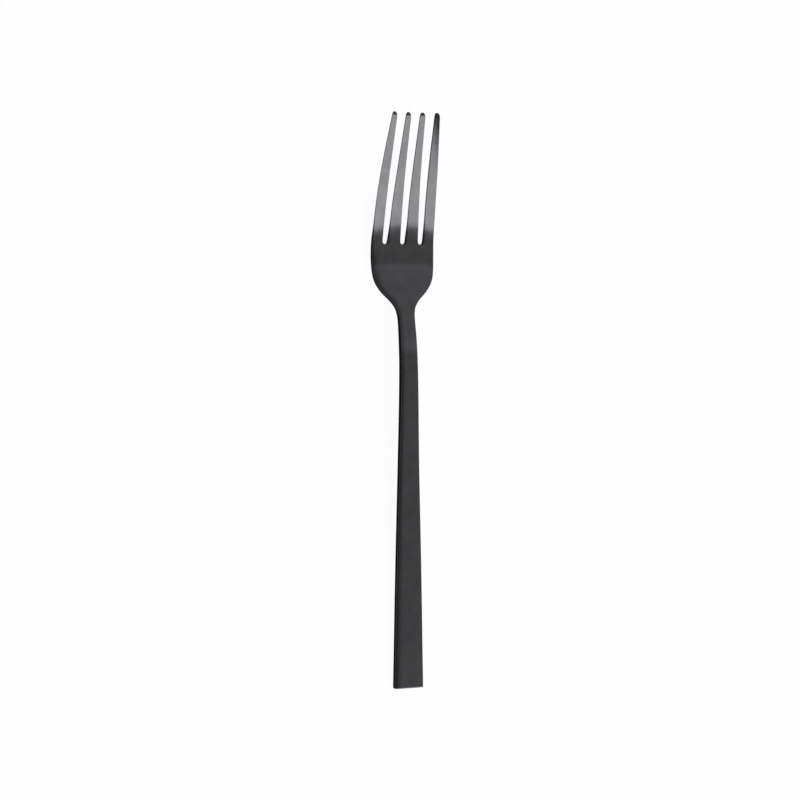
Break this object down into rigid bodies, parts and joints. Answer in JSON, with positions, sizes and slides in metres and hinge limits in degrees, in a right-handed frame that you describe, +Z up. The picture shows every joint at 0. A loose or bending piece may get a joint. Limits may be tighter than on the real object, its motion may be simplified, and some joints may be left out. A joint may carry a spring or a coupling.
{
  "type": "dinner fork",
  "caption": "Four-tine dinner fork with a flat tapering bar handle, a raised waisted neck and a satin black coating.",
  "frame": {"origin": "on the table, under the middle of the fork's length and width, with the fork lying on its back", "axes": "+Y along the fork towards the tines, +Z up through the hollow side of the head, +X to the right"},
  "size_m": [0.0234, 0.205, 0.0187],
  "materials": {
    "coated_steel": "satin black coating on forged steel"
  },
  "bodies": {
    "root": {"handle": "coated_steel", "neck": "coated_steel", "palm": "coated_steel", "left_outer_tine": "coated_steel", "left_inner_tine": "coated_steel", "right_inner_tine": "coated_steel", "right_outer_tine": "coated_steel"}
  },
  "joints": []
}
